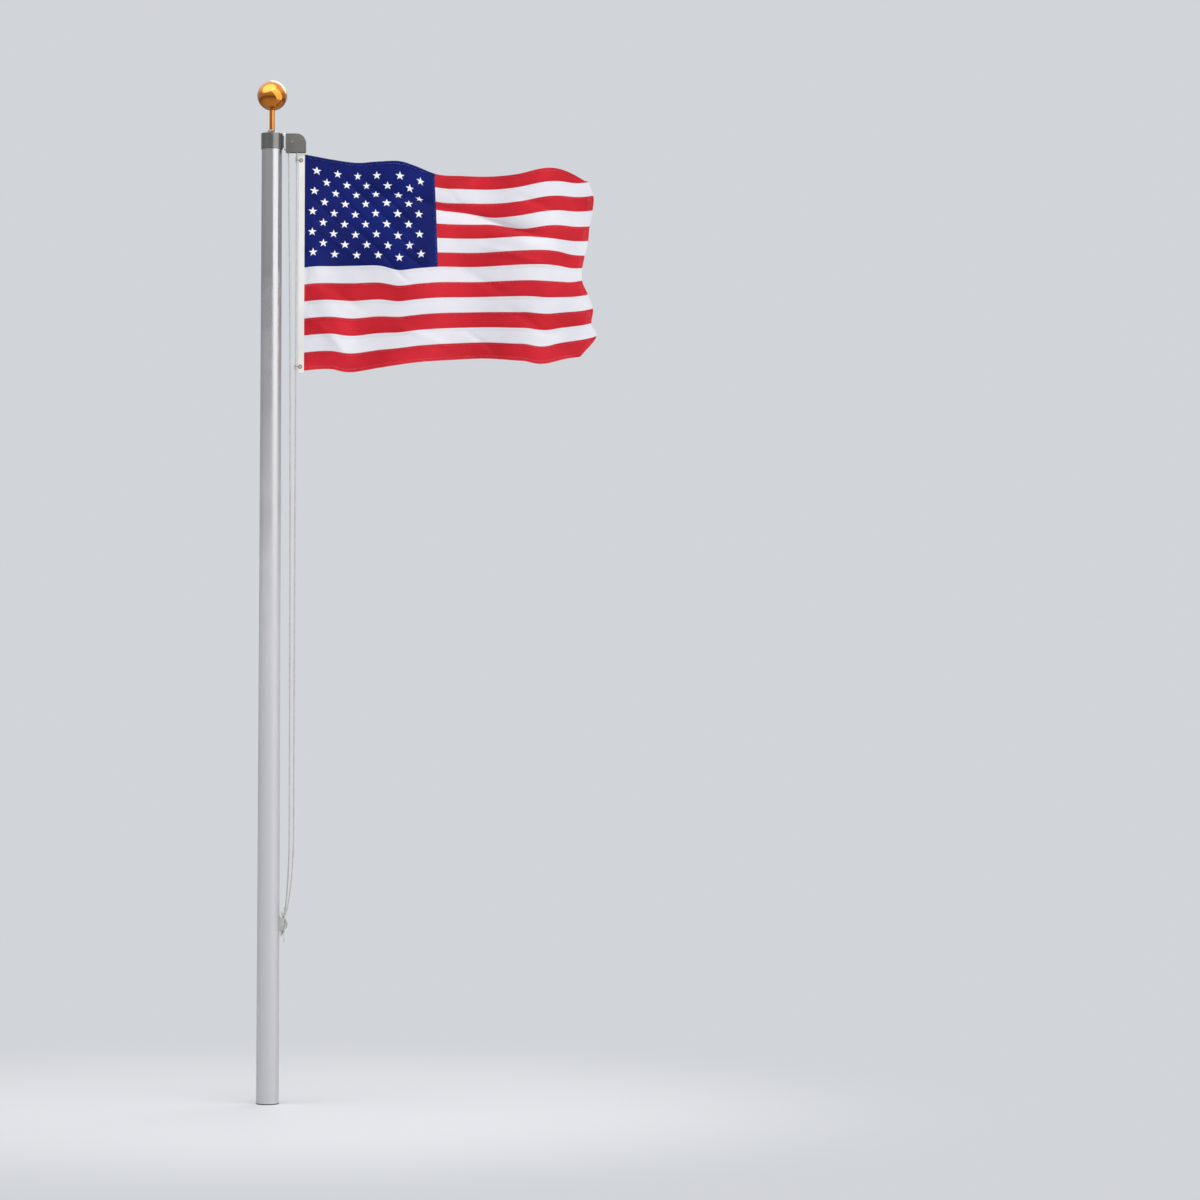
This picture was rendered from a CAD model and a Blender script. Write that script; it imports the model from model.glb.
# %% [markdown]
# # A flagpole with its truck, gold ball, halyard and sewn flag
# The hard parts come from the CAD model, which is loaded as a fixed frame in metres. The
# camera, the light and the finishes of the CAD pieces come first. Then the stem, the rope, the
# flag and its fittings are made again, finer than in the CAD model and at the same places.

# %% Load the frame
from math import atan2, cos, pi, radians, sin, tau

import bmesh
import bpy
import numpy as np
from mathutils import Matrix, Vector


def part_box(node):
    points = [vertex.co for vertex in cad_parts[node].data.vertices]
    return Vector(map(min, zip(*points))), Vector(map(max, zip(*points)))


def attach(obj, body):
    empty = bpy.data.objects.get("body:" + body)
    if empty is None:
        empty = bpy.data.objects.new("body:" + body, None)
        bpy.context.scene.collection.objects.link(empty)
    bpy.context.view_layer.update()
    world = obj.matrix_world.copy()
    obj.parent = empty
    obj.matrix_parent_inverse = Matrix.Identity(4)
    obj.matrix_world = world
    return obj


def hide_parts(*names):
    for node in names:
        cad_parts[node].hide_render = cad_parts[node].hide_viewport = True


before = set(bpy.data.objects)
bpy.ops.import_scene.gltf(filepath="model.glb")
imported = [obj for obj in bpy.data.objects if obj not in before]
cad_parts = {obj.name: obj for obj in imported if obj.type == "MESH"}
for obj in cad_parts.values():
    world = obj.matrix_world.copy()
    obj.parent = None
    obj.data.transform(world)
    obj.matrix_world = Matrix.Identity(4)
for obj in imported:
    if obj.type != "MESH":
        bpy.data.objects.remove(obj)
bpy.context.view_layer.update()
scene = bpy.context.scene
scene.view_settings.view_transform = "Standard"


# %% [markdown]
# ## The camera
# The photographer stood about sixteen metres off with eyes 1.8 m above the ground, so the
# horizon lies low in the picture. A real camera would be tipped up. Here it stays level and
# its lens is shifted, which keeps upright lines upright, as they are in the photograph.

# %% The camera
def linked(name, data):
    """A new object, linked into the scene."""
    made = bpy.data.objects.new(name, data)
    scene.collection.objects.link(made)
    return made


camera_distance = 15.9
camera_aside = 1.383
eye_height = 1.822
camera_roll = -0.273
camera = linked("camera", bpy.data.cameras.new("camera"))
camera.location = (camera_aside, -camera_distance, eye_height)
camera.rotation_euler = (pi / 2, radians(camera_roll), 0)
camera.data.sensor_width = 36
camera.data.lens = 114
camera.data.shift_y = 0.0583
scene.camera = camera
print(f"camera {camera_distance} m away with a {camera.data.lens:.0f} mm lens")


# %% [markdown]
# ## Helpers for node trees
# A material or a shape made of nodes is a list of nodes and of wires between them. One short
# helper adds a node, sets plain values and wires in what other nodes give. The rest add the
# nodes that come up most often.

# %% Add nodes
def add_node(tree, kind, sockets=None, **settings):
    """Add a node; its sockets get values, outputs, or nodes that stand for their first output."""
    made = tree.nodes.new(kind)
    for key, value in settings.items():
        setattr(made, key, value)
    for key, value in (sockets or {}).items():
        if isinstance(value, bpy.types.Node):
            value = value.outputs[0]
        if isinstance(value, bpy.types.NodeSocket):
            tree.links.new(value, made.inputs[key])
        else:
            made.inputs[key].default_value = value
    return made


def maths(tree, operation, *values):
    """What a Math node makes of its values."""
    return add_node(tree, "ShaderNodeMath", dict(enumerate(values)), operation=operation)


def vector_maths(tree, operation, *values, **named):
    """What a Vector Math node makes of its values."""
    sockets = {**dict(enumerate(values)), **named}
    return add_node(tree, "ShaderNodeVectorMath", sockets, operation=operation)


def axes(tree, vector):
    """The parts X, Y and Z of a vector."""
    return add_node(tree, "ShaderNodeSeparateXYZ", {0: vector}).outputs


def noise(tree, place, scale, detail):
    """Soft random patches."""
    return add_node(tree, "ShaderNodeTexNoise", {"Vector": place, "Scale": scale, "Detail": detail})


def shared(tree, group, **sockets):
    """What a shared node group hands out, used in a material's tree."""
    return add_node(tree, "ShaderNodeGroup", sockets, node_tree=group).outputs


def mix(tree, factor, first, second):
    """The colour between two colours."""
    sockets = {"Factor": factor, "A": first, "B": second}
    return add_node(tree, "ShaderNodeMix", sockets, data_type="RGBA").outputs["Result"]


def map_range(tree, value, limits, **settings):
    """A value carried from one range to another; the second range is 0 to 1 if it isn't given."""
    sockets = dict(zip(("From Min", "From Max", "To Min", "To Max"), limits), Value=value)
    return add_node(tree, "ShaderNodeMapRange", sockets, **settings)


def new_group(name, kind, inputs, outputs):
    """Start a node group; a socket is given by its type, or by its first number or vector."""
    tree = bpy.data.node_groups.new(name, kind)
    for in_out, sockets in (("INPUT", inputs), ("OUTPUT", outputs)):
        for socket_name, start in sockets.items():
            typed = isinstance(start, str)
            socket = start if typed else "Vector" if isinstance(start, tuple) else "Float"
            made = tree.interface.new_socket(
                socket_name, in_out=in_out, socket_type="NodeSocket" + socket)
            if not typed:
                made.default_value = start
    return tree, add_node(tree, "NodeGroupInput").outputs


def end_group(tree, **results):
    """Hand the results out of a node group."""
    add_node(tree, "NodeGroupOutput", results)


def linear(*colour):
    """Turn a screen colour, 0 to 255, into the linear colour that shaders use."""
    shares = [value / 255 for value in colour]
    return (*(v / 12.92 if v <= 0.04045 else ((v + 0.055) / 1.055) ** 2.4 for v in shares), 1)


# %% [markdown]
# ## Floor, background and light
# The object stands on a pale floor that fades into a pale grey background, seen by the
# camera alone. The cloth is lit by a plain grey sky and three large soft lamps: one overhead,
# one to the right, where the photograph's pole and stem have their bright side, and one
# behind, which brightens the folds. Polished metal shows what surrounds it, and in the
# photograph that is a bright sky above dark ground. So the rays that metal mirrors meet a
# white sky overhead, grey walls lower down and a dark floor.

# %% The world
ambient = (0.31, 0.32, 0.34, 1)
backdrop = (0.64, 0.66, 0.69, 1)
mirrored_walls = (0.38, 0.38, 0.39, 1)
mirrored_sky = (1, 1, 1, 1)
walls_end, sky_start = 0.1, 0.6

world = bpy.data.worlds.new("studio")
scene.world = world
world.use_nodes = True
tree = world.node_tree
tree.nodes.clear()
rays = add_node(tree, "ShaderNodeLightPath").outputs
seen = maths(tree, "MAXIMUM", rays["Is Camera Ray"], rays["Is Transmission Ray"])
rise = axes(tree, add_node(tree, "ShaderNodeTexCoord").outputs["Generated"])["Z"]
overhead = map_range(tree, rise, (walls_end, sky_start), interpolation_type="SMOOTHSTEP")
mirrored = mix(tree, overhead, mirrored_walls, mirrored_sky)
sky = mix(tree, rays["Is Glossy Ray"], ambient, mirrored)
sky = mix(tree, seen, sky, backdrop)
background = add_node(tree, "ShaderNodeBackground", {"Color": sky, "Strength": 1})
add_node(tree, "ShaderNodeOutputWorld", {"Surface": background})


def soft_lamp(name, place, towards, width, height, power, shape="RECTANGLE"):
    """A large flat lamp aimed at a point."""
    lamp = linked(name, bpy.data.lights.new(name, "AREA"))
    lamp.location = place
    lamp.rotation_euler = (Vector(towards) - Vector(place)).to_track_quat("-Z", "Z").to_euler()
    lamp.data.shape = shape
    lamp.data.size, lamp.data.size_y = width, height
    lamp.data.energy = power
    lamp.visible_camera = False


flag_middle = (0.6, 0, 3.5)
pole_upper_half = (0.2, 0, 3.2)
soft_lamp("overhead_lamp", (-2.2, -3.6, 10.5), flag_middle, 16, 9.5, 690, "ELLIPSE")
soft_lamp("right_lamp", (5.7, -4.2, 4.4), pole_upper_half, 24, 6.5, 640)
soft_lamp("back_lamp", (3.0, 6.5, 9.0), flag_middle, 8, 5, 300)
print("world and three lamps")


# %% The floor
def new_object(name, mesh, material=None, smooth=True):
    """Link a mesh as an object, with one material and smooth or flat faces."""
    made = linked(name, mesh)
    if material:
        mesh.materials.clear()
        mesh.materials.append(material)
    mesh.polygons.foreach_set("use_smooth", [smooth] * len(mesh.polygons))
    if smooth:
        mesh.set_sharp_from_angle(angle=radians(50))
    return made


def mesh_from(name, points, faces):
    """A mesh from points and faces, checked for faults."""
    mesh = bpy.data.meshes.new(name)
    mesh.from_pydata([tuple(p) for p in points], [], [tuple(f) for f in faces])
    mesh.validate()
    return mesh


def new_material(name):
    """An empty node material and its tree."""
    material = bpy.data.materials.new(name)
    material.use_nodes = True
    material.node_tree.nodes.clear()
    return material, material.node_tree


floor_reach = 40
fade_start, fade_end = 0.8, 3.2
pale_paint = (0.72, 0.73, 0.75, 1)
mirrored_paint = (0.4, 0.37, 0.34, 1)
floor_paint, tree = new_material("floor_paint")
place = add_node(tree, "ShaderNodeTexCoord").outputs["Object"]
far_off = vector_maths(tree, "LENGTH", place).outputs["Value"]
fade = map_range(tree, far_off, (fade_start, fade_end), interpolation_type="SMOOTHERSTEP")
rays = add_node(tree, "ShaderNodeLightPath").outputs
blend = maths(tree, "MULTIPLY", rays["Is Camera Ray"], fade)
paint = mix(tree, rays["Is Glossy Ray"], pale_paint, mirrored_paint)
matt = add_node(tree, "ShaderNodeBsdfPrincipled", {"Base Color": paint, "Roughness": 0.9})
distance = add_node(tree, "ShaderNodeEmission", {"Color": backdrop, "Strength": 1})
both = add_node(tree, "ShaderNodeMixShader", {0: blend, 1: matt, 2: distance})
add_node(tree, "ShaderNodeOutputMaterial", {"Surface": both})

corners = [(x * floor_reach, y * floor_reach, 0) for x, y in ((-1, -1), (1, -1), (1, 1), (-1, 1))]
floor = new_object("floor", mesh_from("floor", corners, [(0, 1, 2, 3)]), floor_paint, smooth=False)
print("floor", 2 * floor_reach, "m wide")


# %% [markdown]
# ## Finishes that several materials share
# Drawn or cast metal and plastic have fine grain, and everything outdoors is a little uneven
# in colour. Each effect is a small node group with named inputs. A group hands out masks,
# heights and colours only, and the shader stays in the material.

# %% Node group: fine grain
noise_span = (0.3, 0.7)
grain, given = new_group(
    "fine_grain", "ShaderNodeTree", {"Vector": "Vector", "Stretch": (1, 1, 1), "Scale": 400.0},
    {"Height": "Float", "Patches": "Float"},
)
stretched = vector_maths(grain, "MULTIPLY", given["Vector"], given["Stretch"])
end_group(grain, Height=noise(grain, stretched, given["Scale"], 3),
          Patches=noise(grain, given["Vector"], 7, 4))


# %% Node group: uneven colour
uneven, given = new_group(
    "uneven_colour", "ShaderNodeTree", {"Colour": "Color", "Mask": 0.5, "Amount": 0.2},
    {"Colour": "Color"},
)
darker = map_range(uneven, given["Mask"], (*noise_span, 1, 0))
share = maths(uneven, "MULTIPLY", darker, given["Amount"])
end_group(uneven, Colour=mix(uneven, share, given["Colour"], (0, 0, 0, 1)))
print("two shared finish groups")


# %% A plain recipe for hard finishes
grain_depth = 0.001


def end_material(tree, height, strength, depth, sockets):
    """End a material: its height becomes a bump, and a Principled shader goes to the output."""
    raised = {"Strength": strength, "Distance": depth, "Height": height}
    sockets["Normal"] = add_node(tree, "ShaderNodeBump", raised)
    shader = add_node(tree, "ShaderNodeBsdfPrincipled", sockets)
    add_node(tree, "ShaderNodeOutputMaterial", {"Surface": shader})


def grained(tree, stretch, scale):
    """The outputs of the fine grain for a material's tree, and the place that it is read at."""
    place = add_node(tree, "ShaderNodeTexCoord").outputs["Object"]
    return shared(tree, grain, Vector=place, Stretch=stretch, Scale=scale), place


def hard_finish(name, colour, metallic, roughness, scale=400, bump=0.05, unevenness=0.15,
                roughness_spread=0.12, **extra):
    """A metal or plastic: grain in its height and roughness, patches in its colour."""
    material, tree = new_material(name)
    made, place = grained(tree, (1, 1, 1), scale)
    toned = shared(tree, uneven, Colour=linear(*colour), Amount=unevenness, Mask=made["Patches"])
    spread = roughness_spread / 2
    rough = map_range(tree, made["Height"], (*noise_span, roughness - spread, roughness + spread))
    end_material(tree, made["Height"], bump, grain_depth, {
        "Base Color": toned["Colour"], "Metallic": metallic, "Roughness": rough, **extra})
    return material


cast_aluminium = hard_finish("cast_aluminium", (138, 138, 137), 0.9, 0.22, 700, 0.1, 0.3)
bright_aluminium = hard_finish("bright_aluminium", (236, 237, 239), 0.5, 0.35, 600, 0.08)
hood_aluminium = hard_finish("hood_aluminium", (128, 127, 122), 0.7, 0.5, 500, 0.1, 0.3)
gold_anodised = hard_finish("gold_anodised", (240, 142, 24), 1.0, 0.12, 300, 0.01, 0.25, 0.06,
                            **{"Coat Weight": 1.0, "Coat Roughness": 0.08})
bright_steel = hard_finish("bright_steel", (190, 191, 192), 1.0, 0.25, 900, 0.04)
sheave_nylon = hard_finish("sheave_nylon", (214, 210, 198), 0.0, 0.45, 500, 0.03)
foot_plastic = hard_finish("foot_plastic", (38, 38, 40), 0.0, 0.5, 600, 0.1)
rolled_brass = hard_finish("rolled_brass", (196, 160, 84), 1.0, 0.25, 500, 0.05, 0.3)
print("eight hard finishes")


# %% [markdown]
# ## The pole's weathered aluminium
# Drawn tube has grain along its length. Lower down, where hands and rain reach it, its skin
# has turned chalky, so it is paler, rougher and less of a mirror there. One mask of height,
# made uneven by the grain's patches, drives all three.

# %% The pole's skin
chalk_starts, chalk_full, patchiness = 3.1, 1.6, 0.8
satin_aluminium, tree = new_material("satin_aluminium")
made, place = grained(tree, (1, 1, 0.02), 900)
uneven_edge = maths(tree, "MULTIPLY", made["Patches"], patchiness)
height = maths(tree, "SUBTRACT", axes(tree, place)["Z"], uneven_edge)
chalk = map_range(tree, height, (chalk_starts, chalk_full))
skin = mix(tree, chalk, linear(192, 192, 195), linear(208, 208, 212))
fine_rough = map_range(tree, made["Height"], (*noise_span, -0.05, 0.05))
rough = maths(tree, "ADD", map_range(tree, chalk, (0, 1, 0.22, 0.55)), fine_rough)
metal = map_range(tree, chalk, (0, 1, 0.9, 0.3))
end_material(tree, made["Height"], 0.05, grain_depth, {
    "Base Color": skin, "Metallic": metal, "Roughness": rough})
print("weathered aluminium for the pole")


# %% [markdown]
# ## The CAD pieces that stay
# The pole, cap, hood, ball and the other turned and cast pieces have the right shape already.
# They only need their finish, so their material is swapped and their mesh is left alone.

# %% Dress the CAD pieces
screws = ["upper_plate_screw", "lower_plate_screw", "upper_cleat_screw", "lower_cleat_screw"]
finishes = {
    satin_aluminium: ["pole_shaft"], foot_plastic: ["foot_cap"], cast_aluminium: ["truck_cap"],
    bright_aluminium: ["pulley_plate", "cleat"], gold_anodised: ["finial_ball"],
    hood_aluminium: ["front_cheek", "back_cheek", "hood_crown"], sheave_nylon: ["sheave"],
    bright_steel: ["sheave_axle", *screws],
}
for material, pieces in finishes.items():
    for piece in pieces:
        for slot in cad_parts[piece].material_slots:
            slot.material = material
print(sum(map(len, finishes.values())), "CAD pieces dressed")


# %% [markdown]
# ## The turned stem
# The CAD export gives the slim stem only a few flat sides, which show in a shiny gold tube
# from close by. So it is turned again here, as a tube with many sides, from its CAD box.

# %% A turned shape
def outward(mesh):
    """Turn every face outwards."""
    shape = bmesh.new()
    shape.from_mesh(mesh)
    bmesh.ops.recalc_face_normals(shape, faces=shape.faces)
    shape.to_mesh(mesh)
    shape.free()
    return mesh


def ring_faces(rings, sides, closed=True):
    """The quads between neighbouring rings of points, which are numbered ring by ring."""
    return [
        (a * sides + k, a * sides + (k + 1) % sides, b * sides + (k + 1) % sides, b * sides + k)
        for a in range(rings if closed else rings - 1)
        for b in [(a + 1) % rings] for k in range(sides)
    ]


def lathe(name, profile, centre, axis="y", steps=48):
    """A closed turned shape: points of (radius, along), turned about an axis through a centre."""
    points = []
    for step in range(steps):
        angle = tau * step / steps
        for radius, along in profile:
            u, v = radius * cos(angle), radius * sin(angle)
            points.append(Vector(centre) + Vector({"y": (u, along, v), "z": (u, v, along)}[axis]))
    return outward(mesh_from(name, points, ring_faces(steps, len(profile))))


def declare(piece, body, replaced=None):
    """Say which body a piece rides on, and the CAD piece that it takes the place of."""
    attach(piece, body)
    if replaced:
        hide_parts(replaced)


stem_wall = 0.0025
low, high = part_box("finial_stem")
stem_radius = (high.x - low.x) / 2
bore_radius = stem_radius - stem_wall
stem = [(stem_radius, low.z), (stem_radius, high.z), (bore_radius, high.z), (bore_radius, low.z)]
stem_mesh = lathe("turned_stem", stem, (0, 0, 0), "z", 72)
turned_stem = new_object("turned_stem", stem_mesh, gold_anodised)
declare(turned_stem, "mast", "finial_stem")
print(f"stem of {2000 * stem_radius:.0f} mm, {(high.z - low.z) * 1000:.0f} mm long")


# %% [markdown]
# ## The halyard
# The halyard is one long braided cord. It is made fast in figure-of-eight turns round the
# cleat, runs up to the sheave, over it and down again. Its line is a NURBS curve that takes
# the CAD rope's points as control points, with a few more near the ends of the long runs to
# keep those straight. The skin is a mesh tube that follows points read from the curve,
# because a tube of our own can carry a UV map for the braid.

# %% The halyard's line
halyard_points = [
    (54, 0, 802), (56, -10, 798), (67, -12, 780), (78, -4.5, 763), (78, 4.5, 747), (69, 11, 731),
    (58, 11, 719), (54, 0, 714), (55, -10, 718), (57, -18, 735), (64, -20, 765), (73, -19, 790),
    (83, -14, 830), (94, -8, 910), (101, -3, 1000), (104, 0, 1085), (104, 0, 1170),
    (104, 0, 3996), (104, 0, 4032.2), (93.7, 0, 4042.5), (79.3, 0, 4042.5), (69, 0, 4032.2),
    (69.5, 0, 3996), (82, 0, 3065), (86.3, 0, 1170), (86.5, 0, 1085), (84, 3, 1000), (79, 8, 910),
    (72, 15, 830), (66, 19, 790), (62, 20, 760), (58, 20, 721), (55, 12, 707), (54, 0, 704.5),
    (55, -9, 705), (63, -12, 713), (69, -10, 729), (70.5, -4, 747), (70.5, 4, 763),
    (67.5, 13.5, 780), (56, 11, 798), (54, 0.5, 802),
]
rope_radius = 0.003


def nurbs_line(name, points):
    """The points along a smooth NURBS line whose control points are given in millimetres."""
    curve = bpy.data.curves.new(name, "CURVE")
    curve.dimensions = "3D"
    curve.resolution_u = 12
    spline = curve.splines.new("NURBS")
    spline.points.add(len(points) - 1)
    for point, (x, y, z) in zip(spline.points, points):
        point.co = (x / 1000, y / 1000, z / 1000, 1)
    spline.order_u = 3
    spline.use_endpoint_u = True
    holder = linked(name, curve)
    mesh = bpy.data.meshes.new_from_object(holder)
    line = [v.co.copy() for v in mesh.vertices]
    bpy.data.objects.remove(holder)
    bpy.data.meshes.remove(mesh)
    return line


halyard_line = nurbs_line("halyard_line", halyard_points)
halyard_length = sum((b - a).length for a, b in zip(halyard_line, halyard_line[1:]))
print(f"halyard {halyard_length:.3f} m long, {len(halyard_line)} points")


# %% A tube along a line
def unwrap(mesh, name, pairs, per_point=True):
    """Give a mesh a UV map, from a pair for every point or else for every corner of its faces."""
    pairs = np.array(pairs, np.float32)
    if per_point:
        corners = np.zeros(len(mesh.loops), int)
        mesh.loops.foreach_get("vertex_index", corners)
        pairs = pairs[corners]
    mesh.uv_layers.new(name=name).data.foreach_set("uv", pairs.ravel())


def tube(name, line, radii, sides=12, closed=False):
    """A mesh tube along a line, with a UV map: u goes round and v is the way along in metres."""
    count = len(line)
    radii = [radii] * count if isinstance(radii, (int, float)) else radii
    ways = []
    for i in range(count):
        after = line[(i + 1) % count] if closed or i < count - 1 else line[i]
        before = line[i - 1] if closed or i > 0 else line[i]
        ways.append((after - before).normalized())
    aside = ways[0].orthogonal().normalized()
    asides = []
    for way in ways:
        aside = (aside - way * aside.dot(way)).normalized()
        asides.append(aside)
    twist = 0
    if closed:
        last = (asides[-1] - ways[0] * asides[-1].dot(ways[0])).normalized()
        twist = atan2(last.cross(asides[0]).dot(ways[0]), last.dot(asides[0]))
    points, runs = [], [0]
    for i, (point, way, aside, radius) in enumerate(zip(line, ways, asides, radii)):
        up = way.cross(aside)
        for k in range(sides):
            angle = tau * k / sides + twist * i / count
            points.append(point + radius * (cos(angle) * aside + sin(angle) * up))
        runs.append(runs[-1] + (line[(i + 1) % count] - point).length)
    faces = ring_faces(count, sides, closed)
    pairs = [
        (u / sides, runs[i + ahead]) for i in range(len(faces) // sides) for k in range(sides)
        for u, ahead in ((k, 0), (k + 1, 0), (k + 1, 1), (k, 1))
    ]
    if not closed:
        faces += [range(sides - 1, -1, -1), range((count - 1) * sides, count * sides)]
        pairs += [(0, 0)] * 2 * sides
    mesh = mesh_from(name, points, faces)
    unwrap(mesh, "UVMap", pairs, per_point=False)
    return outward(mesh)


# %% [markdown]
# ## Braided cord
# A braid is two families of strands that wind opposite ways and cross over and under. Two
# slanted sine waves of the tube's UV make the strands, and a checker of the same waves says
# which family lies on top. This is a bump, because a strand is only two millimetres wide and
# half a millimetre high.

# %% The braid and the rope's material
def wave(tree, value):
    """The sine of pi times a value."""
    return maths(tree, "SINE", maths(tree, "MULTIPLY", value, pi))


braid, given = new_group(
    "braid", "ShaderNodeTree", {"UV": "Vector", "Strands": 8.0, "Pitch": 0.02}, {"Height": "Float"})
parts = axes(braid, given["UV"])
around = maths(braid, "MULTIPLY", parts["X"], given["Strands"])
pitches = maths(braid, "DIVIDE", parts["Y"], given["Pitch"])
along = maths(braid, "MULTIPLY", pitches, given["Strands"])
waves = [wave(braid, maths(braid, way, around, along)) for way in ("ADD", "SUBTRACT")]
over = maths(braid, "GREATER_THAN", maths(braid, "MULTIPLY", *waves), 0.0)
first, second = [maths(braid, "ABSOLUTE", strand) for strand in waves]
top = add_node(braid, "ShaderNodeMix", {"Factor": over, "A": first, "B": second}, data_type="FLOAT")
end_group(braid, Height=top)

braided_cord, tree = new_material("braided_cord")
coordinates = add_node(tree, "ShaderNodeTexCoord").outputs
strands = shared(tree, braid, UV=coordinates["UV"])["Height"]
valley = maths(tree, "MULTIPLY", strands, noise(tree, coordinates["Object"], 60, 3))
rope_colour = mix(tree, valley, linear(178, 176, 170), linear(240, 239, 236))
end_material(tree, strands, 0.7, 0.0006, {
    "Base Color": rope_colour, "Roughness": 0.75, "Sheen Weight": 0.2})

halyard = new_object("halyard_cord", tube("halyard_cord", halyard_line, rope_radius), braided_cord)
declare(halyard, "mast", "halyard")
print("halyard:", len(halyard.data.polygons), "faces")


# %% [markdown]
# ## Stopper knots
# Above and below each snap the rope is knotted, so that the snap can't slide. A barrel knot
# is three close turns round the standing rope whose ends are tucked in, which is a short
# helix. Its tube thins at both ends where the rope goes under its own turns.

# %% The knots
hoist_line_x = 0.104
knot_height = 0.009


def barrel_knot(low, turns=3, coil_radius=0.0044, strand=0.0021, height=0.0088, steps=96):
    """The line and radii of a barrel knot that starts at a height on the hoist line."""
    tuck_rate, tucked_coil, tucked_strand = 12, 0.82, 0.45
    line, radii = [], []
    for i in range(steps + 1):
        share = i / steps
        angle = tau * turns * share
        tuck = min(1, share * tuck_rate, (1 - share) * tuck_rate)
        radius = coil_radius * (tucked_coil + (1 - tucked_coil) * tuck)
        z = low + strand + (height - 2 * strand) * share
        line.append(Vector((hoist_line_x + radius * cos(angle), radius * sin(angle), z)))
        radii.append(strand * (tucked_strand + (1 - tucked_strand) * tuck))
    return line, radii


def joined(name, meshes):
    """Several meshes as one."""
    shape = bmesh.new()
    for part in meshes:
        shape.from_mesh(part)
    mesh = bpy.data.meshes.new(name)
    shape.to_mesh(mesh)
    shape.free()
    return mesh


for corner in ("upper", "lower"):
    low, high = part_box(f"{corner}_knot")
    name = f"{corner}_stopper_knots"
    pair = [tube("knot", *barrel_knot(start), sides=10) for start in (low.z, high.z - knot_height)]
    knots = new_object(name, joined(name, pair), braided_cord)
    declare(knots, "hoist", f"{corner}_knot")
print("knots above and below each snap")


# %% [markdown]
# ## The flying cloth
# The flag flies in a light wind. Its hoist edge is held straight by the header and the rest
# hangs in waves that grow towards the fly. A cloth simulation could make waves, but not
# these, so the surface is a rule instead: edges drawn through a few points, waves in depth,
# one long diagonal fold that gathers some height, and small creases. Every panel, star and
# stitch asks the same rule where it goes, so they all stay together.

# %% The edges and seams of the cloth
header_far = 0.138
header_top = 3.973
hoist_length = 0.913
cloth_length = 1.184
cloth_near, fly_end = 0.1384, 1.3624
canton_share = 7 / 13
# Each point is a share of the cloth's length and a rise as a share of the hoist
top_edge = [
    (0, 0), (0.1, -0.022), (0.18, -0.035), (0.26, -0.031), (0.335, -0.031), (0.39, -0.052),
    (0.455, -0.083), (0.56, -0.087), (0.75, -0.085), (0.9, -0.0585), (0.955, -0.077), (1, -0.101),
]
middle_seam = [
    (0, 0.015), (0.1, 0.022), (0.18, 0.0256), (0.27, 0.0235), (0.335, 0.003), (0.394, 0.0113),
    (0.468, 0.023), (0.6, 0.029), (0.78, 0.033), (0.9, 0.03), (0.94, 0.0245), (0.976, 0.03),
]
bottom_edge = [
    (0, 0.009), (0.1, 0.017), (0.16, 0.002), (0.26, 0.022), (0.34, 0.037), (0.41, 0.05),
    (0.49, 0.061), (0.62, 0.074), (0.77, 0.058), (0.87, 0.0495), (0.925, 0.073), (0.9685, 0.0857),
]
# The fly edge flutters: how far each of the fourteen seams' ends reaches past the even line, how
# high it lifts, and the part of that lift at each of the twelve places
fly_reach = np.array([-10, 6, 32, 32, 24, 22, 12, 6, 8, 36, 57, 52, 74, 7]) / 1000
fly_lift = np.array([0, 46, 43, 33, 18, 9, 0, 0, 9, 14, 18, 18, 26, 0]) / 1000
fly_growth = [0, 0, 0, 0, 0, 0, 0, 0, 0, 0.1, 0.4, 1]

# The long fold at the same places: its place on the hoist, the height it gathers, its depth
fold_line = [0.16, 0.16, 0.16, 0.17, 0.175, 0.18, 0.19, 0.22, 0.33, 0.4, 0.43, 0.45]
fold_gather = [0, 0.003, 0.006, 0.014, 0.02, 0.026, 0.029, 0.03, 0.031, 0.012, 0.004, 0]
fold_depth = [0, 0.001, 0.003, 0.006, 0.009, 0.012, 0.016, 0.018, 0.016, 0.008, 0.003, 0]
fold_half_width = 0.05

# Small creases: start and end as shares of length and hoist, depth and half width in metres
creases = [
    ((0.04, 0.05), (0.3, 0.42), 0.005, 0.011), ((0.1, 0.02), (0.44, 0.5), 0.006, 0.014),
    ((0.2, 0.06), (0.47, 0.42), 0.005, 0.009), ((0.02, 0.3), (0.24, 0.54), -0.005, 0.011),
    ((0.12, 0.26), (0.4, 0.62), 0.006, 0.011), ((0.3, 0.3), (0.5, 0.56), -0.005, 0.009),
    ((0.33, 0.42), (0.46, 0.56), 0.005, 0.008), ((0.0, 0.16), (0.16, 0.36), 0.004, 0.008),
    ((0.0, 0.55), (0.26, 0.76), 0.004, 0.016), ((0.0, 0.72), (0.2, 0.96), -0.005, 0.02),
    ((0.5, 0.02), (0.62, 0.2), 0.003, 0.012), ((0.52, 0.5), (0.78, 0.72), 0.004, 0.018),
    ((0.62, 0.4), (0.92, 0.56), -0.005, 0.02), ((0.78, 0.1), (0.98, 0.3), 0.005, 0.016),
    ((0.7, 0.72), (0.97, 0.9), 0.005, 0.02), ((0.3, 0.78), (0.55, 0.97), -0.004, 0.016),
    ((0.55, 0.84), (0.7, 0.99), 0.004, 0.014),
]

wave_depth, wave_growth, wave_count = 0.074, 0.85, 2.2
leeward_drift = 0.06
hollow_pull, hollow_depth = 0.013, 0.021
corner_curl = 0.01
print(len(top_edge), "places along the cloth and", len(creases), "creases")


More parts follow.
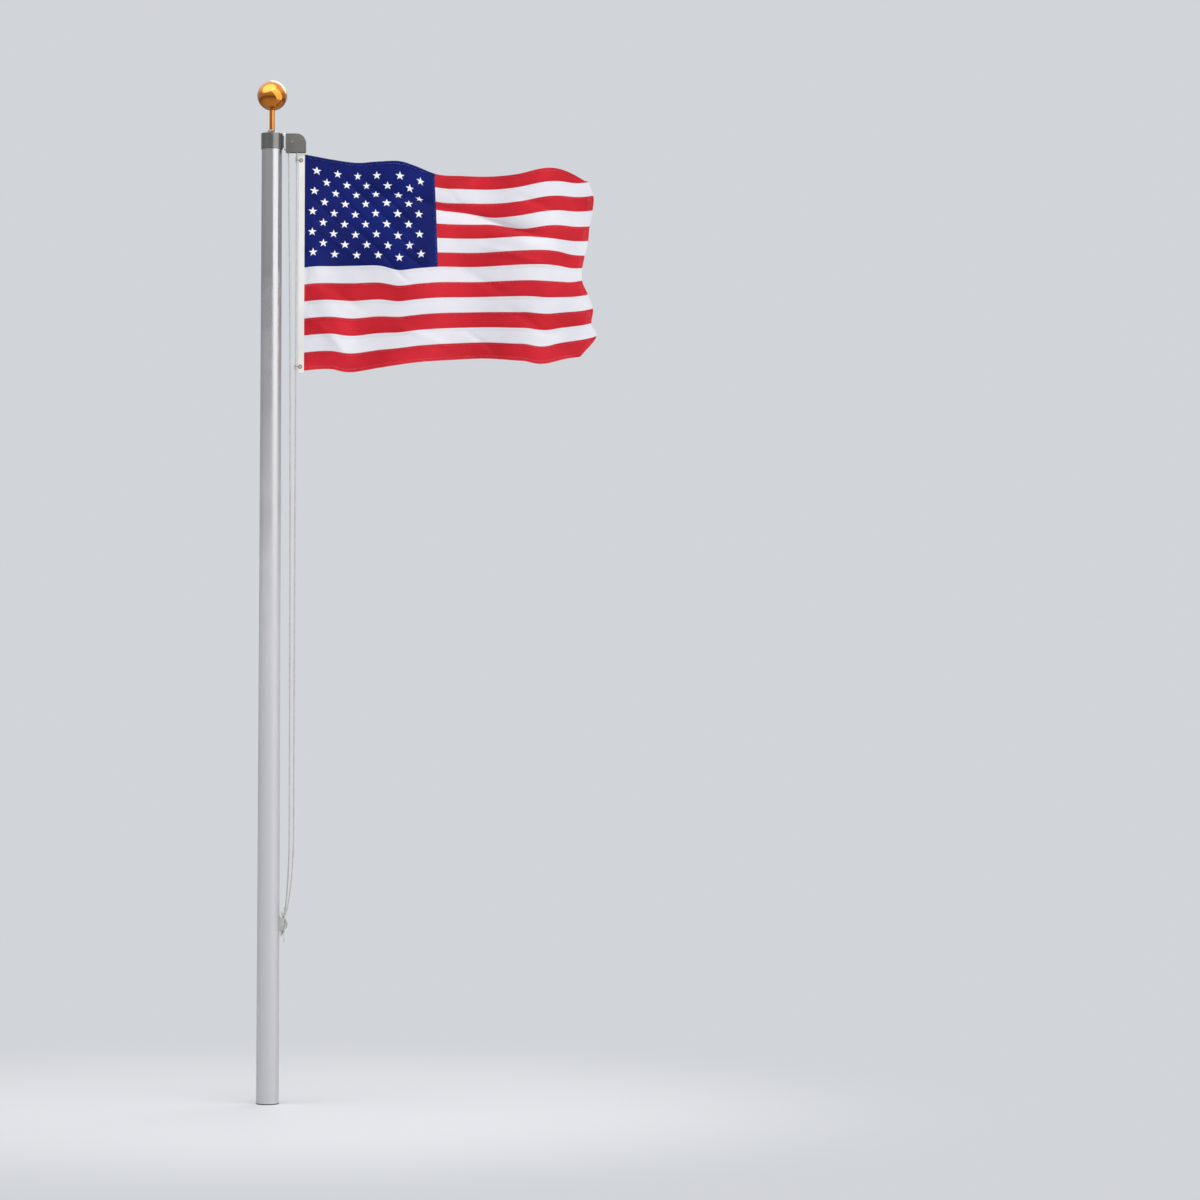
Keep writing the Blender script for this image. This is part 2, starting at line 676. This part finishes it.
# %% The rule of the cloth
def smooth_curve(knots, values, at):
    """A smooth curve through a few points, read at many places."""
    knots, values, at = np.array(knots, float), np.array(values, float), np.asarray(at, float)
    slopes = np.gradient(values, knots)
    i = np.clip(np.searchsorted(knots, at) - 1, 0, len(knots) - 2)
    step = knots[i + 1] - knots[i]
    t = np.clip((at - knots[i]) / step, 0, 1)
    return (
        (1 + 2 * t) * (1 - t) ** 2 * values[i] + t * (1 - t) ** 2 * step * slopes[i]
        + t * t * (3 - 2 * t) * values[i + 1] + t * t * (t - 1) * step * slopes[i + 1]
    )


def ramp(value, low, high):
    """A soft step from 0 at low to 1 at high."""
    t = np.clip((value - low) / (high - low), 0, 1)
    return t * t * (3 - 2 * t)


def bell(offset):
    """A round bump, 1 at no offset."""
    return np.exp(-offset**2)


def cloth(k, q):
    """Where the cloth's middle surface is, at shares k of its length and q of its hoist."""
    k, q = np.broadcast_arrays(np.asarray(k, float), np.asarray(q, float))
    inside = np.clip(k, 0, 1)
    knots = [x / middle_seam[-1][0] for x, rise in middle_seam]
    top, middle, bottom = np.array([
        [smooth_curve(knots, values, inside) for values in zip(*edge)]
        for edge in (top_edge, middle_seam, bottom_edge)
    ])
    upper = np.clip(q / canton_share, None, 1)
    lower = np.clip((q - canton_share) / (1 - canton_share), 0, None)
    x_share, rise = top + (middle - top) * upper + (bottom - middle) * lower

    # The fluttering fly edge and the long fold
    x = header_far + cloth_length * (x_share + k - inside)
    seams, within = np.arange(14) / 13, np.clip(q, 0, 1)
    x = x + ramp(k, 0.93, 1) * smooth_curve(seams, fly_reach, within)
    off = (q - smooth_curve(knots, fold_line, inside)) * hoist_length / fold_half_width
    lift = smooth_curve(knots, fold_gather, inside) * (ramp(off, -1, 1) - np.clip(upper, 0, 1))
    lift = lift + smooth_curve(knots, fly_growth, inside) * smooth_curve(seams, fly_lift, within)
    z = header_top + hoist_length * (rise - q) + lift

    # Waves in depth, and a hollow beside the header that draws the cloth in
    share = np.clip((x - cloth_near) / (fly_end - cloth_near), 0, 1)
    swing = np.sin(tau * wave_count * share)
    y = wave_depth * share**wave_growth * swing + leeward_drift * share**2
    y = y + smooth_curve(knots, fold_depth, inside) * bell(off)
    free, low_down = ramp(k, 0, 0.03), ramp(q, 0.55, 1)
    hollow = ramp(q, 0.1, 0.6) * bell((k - 0.06 - 0.1 * low_down) / (0.04 + 0.03 * low_down))
    x = x - hollow_pull * ramp(q, 0.05, 0.45) * bell((k - 0.07) / 0.09) * free
    y = y - hollow_depth * hollow * free

    # Creases, and the curl of the upper fly corner
    for (k0, q0), (k1, q1), depth, half_width in creases:
        along, down = (k1 - k0) * cloth_length, (q1 - q0) * hoist_length
        length = np.hypot(along, down)
        px, pz = (k - k0) * cloth_length, (q - q0) * hoist_length
        run = (px * along + pz * down) / length**2
        across = (px * down - pz * along) / length
        y = y + depth * np.clip(4 * run * (1 - run), 0, 1) * bell(across / half_width)
    corner = ramp(k, 0.88, 1) * ramp(-q, -0.12, 0)
    return np.stack([x, y + corner_curl * corner, z], axis=-1)


# Arc length along the cloth's middle turns its share of the length into metres of cloth
arc_shares = np.linspace(0, 1, 2001)
arc_steps = np.linalg.norm(np.diff(cloth(arc_shares, 0.5), axis=0), axis=1)
arc_lengths = np.concatenate([[0], np.cumsum(arc_steps)])
fly_length = arc_lengths[-1]


def on_cloth(s, t, lift=0.0):
    """The place s metres from the header and t metres below the top, lifted towards the back."""
    s, t, lift = np.broadcast_arrays(*(np.asarray(value, float) for value in (s, t, lift)))

    def place(s, t):
        past = np.maximum(s - fly_length, 0) + np.minimum(s, 0)
        return cloth(np.interp(s, arc_lengths, arc_shares) + past / cloth_length, t / hoist_length)

    step = 0.0015
    normal = np.cross(
        place(s + step, t) - place(s - step, t), place(s, t + step) - place(s, t - step))
    normal /= np.linalg.norm(normal, axis=-1, keepdims=True)
    return place(s, t) + normal * lift[..., None]


canton_seam = next(x for x, rise in middle_seam if x > 0.46) / middle_seam[-1][0]
canton_far = float(np.interp(canton_seam, arc_shares, arc_lengths))
stripe_width = hoist_length / 13
canton_depth = 7 * stripe_width
print(f"cloth {fly_length:.3f} m along its waves, canton {canton_far:.3f} m,",
      f"stripes {stripe_width * 1000:.1f} mm")


# %% [markdown]
# ## Cloth finishes
# Flag nylon is a plain weave: threads over and under, less than a millimetre apart, which
# give a soft sheen. The product of two sine waves of the flat cloth makes the threads, as a
# height for the bump, and a broad noise fades the colour a little in patches.

# %% Cloth materials
weave, given = new_group(
    "weave", "ShaderNodeTree", {"UV": "Vector", "Thread": 0.0008}, {"Height": "Float"})
parts = axes(weave, given["UV"])
waves = [wave(weave, maths(weave, "DIVIDE", parts[axis], given["Thread"])) for axis in "XY"]
end_group(weave, Height=map_range(weave, maths(weave, "MULTIPLY", *waves), (-1, 1)))


def cloth_finish(name, colour, fold_colour, roughness=0.65, sheen=0.25, thread=0.0008,
                 strength=0.25, gloss=0.35):
    """Woven cloth: threads in its height, and a slightly different colour in patches."""
    material, tree = new_material(name)
    coordinates = add_node(tree, "ShaderNodeTexCoord").outputs
    threads = shared(tree, weave, UV=coordinates["UV"], Thread=thread)["Height"]
    faded = map_range(tree, noise(tree, coordinates["Object"], 5, 5), (0.35, 0.65))
    end_material(tree, threads, strength, 0.0003, {
        "Base Color": mix(tree, faded, linear(*fold_colour), linear(*colour)),
        "Roughness": roughness, "Specular IOR Level": gloss,
        "Sheen Weight": sheen, "Sheen Roughness": 0.4,
    })
    return material


navy_cloth = cloth_finish("navy_cloth", (15, 31, 112), (9, 20, 88), 0.6, 0.0, gloss=0.12)
red_cloth = cloth_finish("red_cloth", (210, 28, 46), (188, 15, 31), sheen=0.05, gloss=0.25)
white_cloth = cloth_finish("white_cloth", (231, 230, 235), (222, 221, 228))
header_canvas = cloth_finish("header_canvas", (240, 239, 234), (228, 227, 220), 0.8, 0.1,
                             thread=0.0014, strength=0.5)
star_satin = cloth_finish("star_satin", (246, 246, 248), (238, 238, 242), 0.4, 0.2, 0.0006, 0.35)
thread = cloth_finish("sewing_thread", (232, 230, 232), (206, 204, 208), 0.5, 0.2, 0.0004, 0.2)
print("six cloth finishes")


# %% [markdown]
# ## Sewn panels
# A sewn flag is fourteen pieces of cloth: a navy canton and thirteen stripes. Neighbours
# overlap by a centimetre and two rows of stitches go through both. Each panel here is a thin
# closed sheet on the rule above. Its lower edge lies behind the next panel and its upper
# edge in front, so that the seams have a real step.

# %% A sewn panel
half_thickness = 0.00035
lap, lap_lift = 0.005, 0.00045
hem_width, hem_lift = 0.014, 0.0004
fly_hem = 0.025
fold_in = 0.008
step_width = 0.0015
cell = 0.0058


def across_places(width, upper_lap, lower_lap, cells):
    """Places across a panel from its upper to its lower edge, close together at the seams."""
    def side(lapped):
        fold = lap if lapped else hem_width
        return [-lap if lapped else 0, fold, fold + step_width]

    near, far = side(upper_lap), [width - place for place in reversed(side(lower_lap))]
    return np.array(near + list(np.linspace(near[-1], far[0], cells + 1)[1:-1]) + far)


def seam_layers(s, t, width, upper_lap, lower_lap, left_lap, right_lap):
    """How far each place of a panel is lifted and how thick it is, for its seams and hems."""
    lift = np.zeros(s.shape)
    thickness = np.full(s.shape, half_thickness)
    for lapped, past_edge, way in ((upper_lap, -t, -1), (lower_lap, t - width, 1)):
        fold = lap if lapped else hem_width
        step = ramp(past_edge, -fold - step_width, -fold)
        if lapped:
            lift += way * lap_lift * step
        else:
            thickness += hem_lift * step
    if left_lap:
        ahead = ramp(-s, -canton_far - lap - step_width, -canton_far - lap)
        lift = np.maximum(lift, lap_lift * ahead)
    if right_lap:
        lift -= lap_lift * ramp(s, canton_far - lap - step_width, canton_far - lap)
    thickness += hem_lift * ramp(s, fly_length - fly_hem, fly_length - fly_hem + step_width)
    return lift, thickness


def grid(rows, columns):
    """The numbers of the points of a grid, row by row, and its quads."""
    index = np.arange(rows * columns).reshape(rows, columns)
    quads = np.stack([index[:-1, :-1], index[1:, :-1], index[1:, 1:], index[:-1, 1:]], axis=-1)
    return index, quads.reshape(-1, 4)


def sewn_panel(name, material, s_places, above, width, laps, cells):
    """A closed thin sheet on the cloth's rule; laps says whether its four sides are lapped."""
    s, t = np.meshgrid(s_places, across_places(width, *laps[:2], cells), indexing="ij")
    lift, thickness = seam_layers(s, t, width, *laps)
    t = t + above
    front, back = [on_cloth(s, t, lift + way * thickness).reshape(-1, 3) for way in (-1, 1)]
    index, quads = grid(*s.shape)
    rim = np.concatenate([index[:, 0], index[-1, 1:], index[-2::-1, -1], index[0, -2:0:-1]])
    following = np.roll(rim, -1)
    rim_faces = np.stack([rim, following, following + s.size, rim + s.size], axis=-1)
    faces = np.concatenate([quads[:, [0, 3, 2, 1]], quads + s.size, rim_faces])
    mesh = mesh_from(name, np.concatenate([front, back]), faces)
    unwrap(mesh, "UVMap", np.tile(np.stack([s, t], axis=-1).reshape(-1, 2), (2, 1)))
    return new_object(name, outward(mesh), material)


# %% The fourteen panels
flag_panels = []
fly_fold = fly_length - fly_hem
hem_places = list(np.linspace(fly_fold + step_width, fly_length, 5))
for number in range(1, 14):
    beside_canton = number <= 7
    start = canton_far - lap if beside_canton else -fold_in
    s_places = list(np.linspace(start, fly_fold, int((fly_fold - start) / cell)))
    if beside_canton:
        s_places = sorted(s_places + [canton_far + lap, canton_far + lap + step_width])
    material, slot = (red_cloth, "red_cloth") if number % 2 else (white_cloth, "white_cloth")
    laps = (number > 1, number < 13, beside_canton, False)
    panel = sewn_panel(f"stripe_{number:02d}_cloth", material, s_places + hem_places,
                       (number - 1) * stripe_width, stripe_width, laps, 9)
    declare(panel, "flag", f"stripe_{number:02d}")
    flag_panels.append((panel, fly_length - start + fly_hem, stripe_width + 2 * lap))

s_places = list(np.linspace(-fold_in, canton_far - lap - step_width, int(canton_far / cell)))
canton = sewn_panel("canton_cloth", navy_cloth, s_places + [canton_far - lap, canton_far + lap],
                    0, canton_depth, (False, True, False, True), int(canton_depth / cell))
declare(canton, "flag", "canton")
flag_panels.append((canton, canton_far + fold_in + lap, canton_depth + hem_width + lap))
print("fourteen panels,", sum(len(panel.data.polygons) for panel, *size in flag_panels), "faces")


# %% [markdown]
# ## Stars and stitches from one pattern
# Stars and stitches are laid out flat, on the cloth as it lies on the cutting table, and
# then mapped onto the flying cloth. In Geometry Nodes that is Sample UV Surface: a guide mesh
# has the flat place of every point as its UV, shifted and halved to lie between 0 and 1, and
# each point of the pattern looks up where that place is in space. The same few nodes serve
# stars, seams and hems.

# %% The guide surface
flat_shift, flat_scale = 0.1, 0.5
s, t = np.meshgrid(np.linspace(-0.03, fly_length + 0.006, 300),
                   np.linspace(-0.006, hoist_length + 0.006, 200), indexing="ij")
guide_mesh = mesh_from("cloth_guide", on_cloth(s, t).reshape(-1, 3), grid(*s.shape)[1])
unwrap(guide_mesh, "flat", (np.stack([s, t], axis=-1).reshape(-1, 2) + flat_shift) * flat_scale)
guide = new_object("cloth_guide", guide_mesh)
print("guide of", len(guide_mesh.polygons), "faces")


# %% Lay a flat pattern on the cloth
pattern_inputs = {"Geometry": "Geometry", "Cloth": "Object", "Material": "Material"}
pattern_outputs = {"Geometry": "Geometry"}
laid, given = new_group("lay_on_cloth", "GeometryNodeTree", pattern_inputs, pattern_outputs)
flying = add_node(laid, "GeometryNodeObjectInfo", {"Object": given["Cloth"]}).outputs["Geometry"]
flat_map = add_node(
    laid, "GeometryNodeInputNamedAttribute", {"Name": "flat"}, data_type="FLOAT_VECTOR")
here = add_node(laid, "GeometryNodeInputPosition")
shifted = vector_maths(laid, "ADD", here, (flat_shift, flat_shift, 0))
flat_place = vector_maths(laid, "SCALE", shifted, Scale=flat_scale)
place, normal = [
    add_node(laid, "GeometryNodeSampleUVSurface", {
        "Mesh": flying, "Value": add_node(laid, field), "UV Map": flat_map, "Sample UV": flat_place,
    }, data_type="FLOAT_VECTOR")
    for field in ("GeometryNodeInputPosition", "GeometryNodeInputNormal")
]
lifted = vector_maths(laid, "SCALE", normal, Scale=axes(laid, here)["Z"])
moved = add_node(laid, "GeometryNodeSetPosition", {
    "Geometry": given["Geometry"], "Position": vector_maths(laid, "ADD", place, lifted)})
sockets = {"Geometry": moved, "Material": given["Material"]}
end_group(laid, Geometry=add_node(laid, "GeometryNodeSetMaterial", sockets))


def lay_instances(tree, given, sockets):
    """Put an instance on every point, make them all real and lay them on the cloth."""
    placed = add_node(tree, "GeometryNodeInstanceOnPoints", sockets)
    realized = add_node(tree, "GeometryNodeRealizeInstances", {"Geometry": placed})
    sockets = {"Geometry": realized, "Cloth": given["Cloth"], "Material": given["Material"]}
    end_group(tree, Geometry=add_node(tree, "GeometryNodeGroup", sockets, node_tree=laid))


def applied(holder):
    """The object's mesh with its modifiers applied; the object itself is removed."""
    depsgraph = bpy.context.evaluated_depsgraph_get()
    mesh = bpy.data.meshes.new_from_object(holder.evaluated_get(depsgraph), depsgraph=depsgraph)
    bpy.data.objects.remove(holder)
    return mesh


def grown(name, base, tree, **inputs):
    """Run a Geometry Nodes tree on a mesh and keep the result as a plain mesh object."""
    holder = linked(name + "_base", base)
    modifier = holder.modifiers.new("grow", "NODES")
    modifier.node_group = tree
    for item in tree.interface.items_tree:
        key = item.name.lower().replace(" ", "_")
        if item.in_out == "INPUT" and key in inputs:
            modifier[item.identifier] = inputs[key]
    mesh = applied(holder)
    mesh.name = name
    return linked(name, mesh)


print("the laying tree has", len(laid.nodes), "nodes")


# %% [markdown]
# ## Fifty stars
# The canton's stars stand in nine rows of six and five. They are white satin shapes sewn on
# both faces. The star curve is filled, cut finer so that it can bend with the cloth, made
# thick, and placed on a point for each star. The points are the only thing computed outside.
# In the photograph the wind has drawn the weave a little out of square: the columns bow
# towards the hoist and the middle of the lower rows hangs down, and so do these points.

# %% The star tree
star_thickness, star_seat = 0.0005, 0.0004
stars_tree, given = new_group(
    "sewn_stars", "GeometryNodeTree",
    {**pattern_inputs, "Outer Radius": 0.0193, "Inner Radius": 0.0078, "Thickness": star_thickness},
    pattern_outputs,
)
outline = add_node(stars_tree, "GeometryNodeCurveStar", {
    "Points": 5, "Inner Radius": given["Inner Radius"], "Outer Radius": given["Outer Radius"]})
turned_up = add_node(stars_tree, "GeometryNodeTransform", {
    "Geometry": outline, "Rotation": (0, 0, -pi / 2)})
filled = add_node(stars_tree, "GeometryNodeFillCurve", {"Curve": turned_up}, mode="TRIANGLES")
finer = add_node(stars_tree, "GeometryNodeSubdivideMesh", {"Mesh": filled, "Level": 2})
raised = add_node(stars_tree, "GeometryNodeExtrudeMesh", {
    "Mesh": finer, "Offset Scale": given["Thickness"], "Individual": False})
underside = add_node(stars_tree, "GeometryNodeFlipFaces", {"Mesh": finer})
star = add_node(stars_tree, "GeometryNodeJoinGeometry", {0: underside})
stars_tree.links.new(raised.outputs[0], star.inputs[0])
merged = add_node(stars_tree, "GeometryNodeMergeByDistance", {
    "Geometry": star, "Distance": 0.00005})
lay_instances(stars_tree, given, {"Points": given["Geometry"], "Instance": merged})

star_columns = np.linspace(0.087, 0.897, 11) * canton_far
star_rows = np.linspace(0.126, 0.848, 9) * canton_depth
bow, sag = 0.015, 0.028


def drawn(column, row):
    """Where the pull of the wind takes a star."""
    across, down = column / canton_far, row / canton_depth
    return column - bow * (0.2 + sin(pi * down)), row + sag * down**1.5 * sin(pi * across)


star_places = [
    drawn(column, row)
    for r, row in enumerate(star_rows) for c, column in enumerate(star_columns) if (r + c) % 2 == 0
]
for side, lift in (("front", -star_seat - star_thickness), ("back", star_seat)):
    points = mesh_from(f"stars_{side}", [(*place, lift) for place in star_places], [])
    stars = grown(f"stars_{side}", points, stars_tree, cloth=guide, material=star_satin)
    declare(stars, "flag")
    flag_panels[-1] += (stars,)
print(len(star_places), "stars on each face,", len(stars.data.polygons), "faces")


# %% [markdown]
# ## Rows of stitches
# Two rows of lockstitch run along every seam and along the upper and lower hems, four along
# the fly and three along the header. A row is a straight line on the flat pattern. It becomes
# points at the stitch's pitch, each gets one short spindle of thread turned along the row,
# and the whole row is laid on the cloth. A spindle of eight faces is enough, because there
# are thousands.

# %% The stitch tree
stitch_tree, given = new_group(
    "stitch_rows", "GeometryNodeTree",
    {**pattern_inputs, "Pitch": 0.0036, "Stitch Length": 0.0029, "Thread": 0.00034},
    pattern_outputs,
)
rows = add_node(stitch_tree, "GeometryNodeMeshToCurve", {"Mesh": given["Geometry"]})
spots = add_node(stitch_tree, "GeometryNodeCurveToPoints", {
    "Curve": rows, "Length": given["Pitch"]}, mode="LENGTH").outputs
facing = add_node(stitch_tree, "FunctionNodeAlignRotationToVector", {
    "Vector": spots["Tangent"]}, axis="X")
spindle = add_node(stitch_tree, "GeometryNodeMeshUVSphere", {
    "Segments": 4, "Rings": 2, "Radius": 0.5})
size = add_node(stitch_tree, "ShaderNodeCombineXYZ", {
    "X": given["Stitch Length"], "Y": given["Thread"], "Z": given["Thread"]})
lay_instances(stitch_tree, given, {
    "Points": spots["Points"], "Instance": spindle, "Rotation": facing, "Scale": size})


# %% The rows
def row_mesh(name, rows):
    """Edges for rows from (s, t) to (s, t), at -height on the front and +height on the back."""
    points, edges = [], []
    for start, end, height in rows:
        for side in (-height, height):
            edges.append((len(points), len(points) + 1))
            points += [(*start, side), (*end, side)]
    mesh = bpy.data.meshes.new(name)
    mesh.from_pydata(points, edges, [])
    return mesh


seam_height, hem_height, header_height = 0.00095, 0.0009, 0.00165
seam_rows, hem_rows, header_rows = [], [], []
row_end = fly_length - 0.001
double_row = (-0.003, 0.003)
for seam in range(1, 13):
    start = canton_far + lap if seam < 7 else 0.0
    for aside in double_row:
        t = seam * stripe_width + aside
        seam_rows.append(((start, t), (row_end, t), seam_height))
for aside in double_row:
    s = canton_far + aside
    seam_rows.append(((s, 0.002), (s, canton_depth - 0.004), seam_height))
for t in (0.0025, hem_width - 0.002, hoist_length - 0.0025, hoist_length - hem_width + 0.002):
    hem_rows.append(((0.0, t), (row_end, t), hem_height))
for inset in (0.0025, 0.009, 0.0155, 0.022):
    s = fly_length - inset
    hem_rows.append(((s, 0.001), (s, hoist_length - 0.001), hem_height))
for s in (-0.0035, -0.0075, -0.0215):
    header_rows.append(((s, 0.004), (s, hoist_length - 0.004), header_height))

for name, rows in (
    ("seam_stitches", seam_rows), ("hem_stitches", hem_rows), ("header_stitches", header_rows)
):
    stitches = grown(name, row_mesh(name, rows), stitch_tree, cloth=guide, material=thread)
    declare(stitches, "flag")
    print(name, len(stitches.data.polygons), "faces")

bpy.data.objects.remove(guide)


# %% [markdown]
# ## The header
# The flag's hoist edge is sewn into a folded band of white canvas: one strip bent round the
# cloth's edge, with its fold towards the rope. Its section is that bend, inside and out, and
# two Boolean modifiers cut the grommet holes and are applied at once.

# %% The canvas header
header_near = 0.113
header_half = 0.0015
canvas_thickness, canvas_width = 0.0006, 0.053
profile = []
for half, way in ((header_half, 1), (header_half - canvas_thickness, -1)):
    bend = [(header_far, way * half)]
    for step in range(9):
        angle = way * (pi / 2 + pi * step / 8)
        bend.append((header_near + header_half + half * cos(angle), half * sin(angle)))
    profile += bend + [(header_far, -way * half)]
heights = np.linspace(header_top - hoist_length, header_top, 120)
points = [(x, y, z) for z in heights for x, y in profile]
wide, last = len(profile), len(points) - 1
faces = ring_faces(len(heights), wide, closed=False) + [range(wide), range(last, last - wide, -1)]

grommet_x, grommet_inset = 0.122, 0.025
grommet_heights = {
    "upper": header_top - grommet_inset, "lower": header_top - hoist_length + grommet_inset}
hole_radius, reach, middle = 0.0062, 0.01, 0.0001
punch = [(middle, -reach), (hole_radius, -reach), (hole_radius, reach), (middle, reach)]
holder = new_object("header_base", outward(mesh_from("header_base", points, faces)))
cutters = []
for corner, height in grommet_heights.items():
    cutter = new_object(f"{corner}_cutter", lathe("cutter", punch, (grommet_x, 0, height)))
    cutters.append(cutter)
    hole = holder.modifiers.new(corner, "BOOLEAN")
    hole.operation, hole.solver, hole.object = "DIFFERENCE", "EXACT", cutter
header = new_object("canvas_header", applied(holder), header_canvas, smooth=False)
for cutter in cutters:
    bpy.data.objects.remove(cutter)
unwrap(header.data, "UVMap", [(v.co.x, v.co.z) for v in header.data.vertices])
declare(header, "flag", "flag_header")
print("header", len(header.data.polygons), "faces")


# %% [markdown]
# ## Grommets
# A brass grommet is a barrel pushed through the canvas and rolled over a washer. Its section
# is turned about the hole: a round rolled rim on each face and a thin barrel between them.

# %% The grommets
rim = []
for step in range(7):
    angle = pi * step / 6
    rim.append((0.0058 + 0.001 * cos(angle), 0.0017 + 0.00085 * sin(angle)))
face = [(0.009, 0.00165), (0.0088, 0.0022), (0.0078, 0.0024)] + rim
section = face + [(0.0048, 0.0014), (0.0048, -0.0014)] + [(r, -y) for r, y in reversed(face)]
section += [(0.009, -0.00155), (0.006, -0.00155), (0.006, 0.00155), (0.009, 0.00155)]
for corner, height in grommet_heights.items():
    turned = lathe("grommet", section, (grommet_x, 0, height), steps=56)
    grommet = new_object(f"{corner}_rolled_grommet", turned, rolled_brass)
    declare(grommet, "flag", f"{corner}_grommet")
print("two grommets of", len(grommet.data.polygons), "faces")


# %% [markdown]
# ## Snap hooks
# A snap hook has an eye that slides on the rope, a short swivel and a hook of round bar that
# passes through the grommet. A thinner gate closes it, with a thumb stud. Every part of it is
# a tube along a short smooth path.

# %% The snap hooks
def snap_hook(name, height):
    """One snap hook, lying level at a height, as one mesh of closed tubes."""
    def level(*places):
        return [Vector((x, y, height)) for x, y in places]

    def arc(x, y, radius, start, end, steps):
        turns = [radians(a) for a in np.linspace(start, end, steps)]
        return level(*((x + radius * cos(a), y + radius * sin(a)) for a in turns))

    eye = arc(hoist_line_x, 0, 0.00545, 0, 360, 33)[:-1]
    neck = level(*((x, 0) for x in (0.1093, 0.1101, 0.1104, 0.112, 0.1123, 0.113)))
    bar = level((0.1128, 0), (0.1126, -0.002), (0.1128, -0.0045))
    bar += arc(0.115, -0.0044, 0.0021, 200, 270, 5)[1:] + arc(0.11985, -0.0043, 0.0022, 270, 360, 8)
    bar += arc(0.11985, 0.0043, 0.0022, 0, 90, 8) + level((0.1186, 0.0065))
    bar_radii = [0.0018] * 3 + [0.00185] * (len(bar) - 5) + [0.0018, 0.0014]
    gate = level((0.1126, 0.0018), (0.1129, 0.0046), (0.1142, 0.0062), (0.118, 0.0065),
                 (0.119, 0.0065))
    rises = (-0.0012, 0.0018, 0.0022, 0.0028, 0.003)
    stud = [Vector((0.116, 0.0066, height + rise)) for rise in rises]
    return joined(name, [
        tube("eye", eye, 0.0017, closed=True),
        tube("neck", neck, [0.0018, 0.0019, 0.0027, 0.0027, 0.002, 0.0019], sides=16),
        tube("bar", bar, bar_radii, sides=14),
        tube("gate", gate, [0.0013, 0.0014, 0.0013, 0.0012, 0.0011]),
        tube("stud", stud, [0.0007, 0.0007, 0.0013, 0.0013, 0.0008]),
    ])


for corner in ("upper", "lower"):
    low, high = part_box(f"{corner}_snap")
    name = f"{corner}_snap_hook"
    hook = new_object(name, snap_hook(name, (low.z + high.z) / 2), bright_steel)
    declare(hook, "flag", f"{corner}_snap")
print("two snap hooks of", len(hook.data.polygons), "faces")
